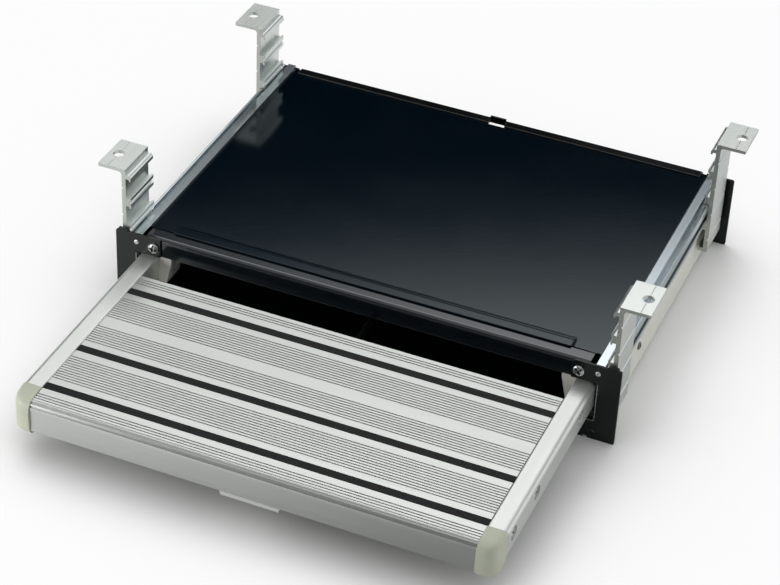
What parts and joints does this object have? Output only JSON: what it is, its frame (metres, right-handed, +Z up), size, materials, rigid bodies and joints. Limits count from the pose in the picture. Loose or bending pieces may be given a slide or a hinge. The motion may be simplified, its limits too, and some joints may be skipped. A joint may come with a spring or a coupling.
{
  "type": "caravan pull out step",
  "caption": "Pull-out entrance step: grooved aluminium tread on tube rails sliding from a flat black housing hung on hooked brackets, with an underside release grip.",
  "frame": {"origin": "centre of the four bracket holes, on the plane of the bracket flange tops", "axes": "+X to the right of someone facing the step, +Y into the vehicle, +Z up; the step is stored pulled out"},
  "size_m": [0.5164, 0.5702, 0.1425],
  "materials": {
    "anodised_aluminium": "natural anodised, fine extrusion lines",
    "mill_aluminium": "mill finish extrusion, sawn ends",
    "galvanised_rail": "pale mill finish",
    "zinc_wall": "zinc plated sheet",
    "black_steel": "satin black powder coat",
    "black_cover": "gloss blue-black coat",
    "cream_plastic": "moulded, satin",
    "black_rubber": "ribbed matt rubber",
    "zinc_steel": "bright zinc plated",
    "black_nylon": "moulded nylon",
    "white_nylon": "moulded nylon",
    "spring_steel": "oiled spring steel",
    "black_rod": "blackened steel"
  },
  "bodies": {
    "housing": {"cover_plate": "black_cover", "side_rail_left": "galvanised_rail", "side_rail_right": "galvanised_rail", "side_wall_left": "zinc_wall", "side_wall_right": "zinc_wall", "front_crossbar": "black_steel", "rear_crossbar": "black_steel", "front_end_plate_left": "black_steel", "front_end_plate_right": "black_steel", "rear_end_plate_left": "black_steel", "rear_end_plate_right": "black_steel", "bottom_pan": "black_steel", "bracket_front_left": "mill_aluminium", "bracket_front_right": "mill_aluminium", "bracket_rear_left": "mill_aluminium", "bracket_rear_right": "mill_aluminium", "front_guide_left": "black_nylon", "front_guide_right": "black_nylon", "front_bar_screws": "zinc_steel", "rear_bar_screws": "zinc_steel", "rail_rivets": "zinc_steel", "wall_screws": "zinc_steel", "catch_rivets": "zinc_steel", "catch_strip": "spring_steel", "rear_buffers": "black_rubber"},
    "tread": {"tread_plate": "anodised_aluminium", "anti_slip_strip_front": "black_rubber", "anti_slip_strip_middle": "black_rubber", "anti_slip_strip_rear": "black_rubber", "tread_rail_left": "anodised_aluminium", "tread_rail_right": "anodised_aluminium", "end_cap_left": "cream_plastic", "end_cap_right": "cream_plastic", "tread_screws": "zinc_steel", "rear_crossmember": "black_steel", "crossmember_rivets": "zinc_steel", "rear_glide_left": "white_nylon", "rear_glide_right": "white_nylon", "stop_block_left": "white_nylon", "stop_block_right": "white_nylon", "stop_screws": "zinc_steel", "rod_guide_front": "black_nylon", "rod_guide_rear": "black_nylon", "pawl_bracket": "zinc_steel", "pawl_pin": "zinc_steel", "return_spring": "spring_steel"},
    "release": {"release_grip": "anodised_aluminium", "pull_rod": "black_rod", "rod_collar": "zinc_steel", "rod_nut": "zinc_steel"},
    "pawl": {"latch_pawl": "zinc_steel"}
  },
  "joints": [
    {"name": "tread_slide", "type": "slide", "parent": "housing", "child": "tread", "axis": [0, 1, 0], "range_m": [0, 0.2], "deforming": ["catch_strip"]},
    {"name": "release_pull", "type": "slide", "parent": "tread", "child": "release", "axis": [0, -1, 0], "range_m": [0, 0.008], "stiffness_N_per_m": 600, "springref_m": -0.005, "deforming": ["return_spring"]},
    {"name": "pawl_pivot", "type": "hinge", "parent": "tread", "child": "pawl", "pos_m": [0, -0.0635, -0.118], "axis": [1, 0, 0], "range_deg": [0, 40.2]}
  ],
  "couplings": [
    {"joint": "pawl_pivot", "follows": "release_pull", "rad_per_m": 87.2}
  ]
}
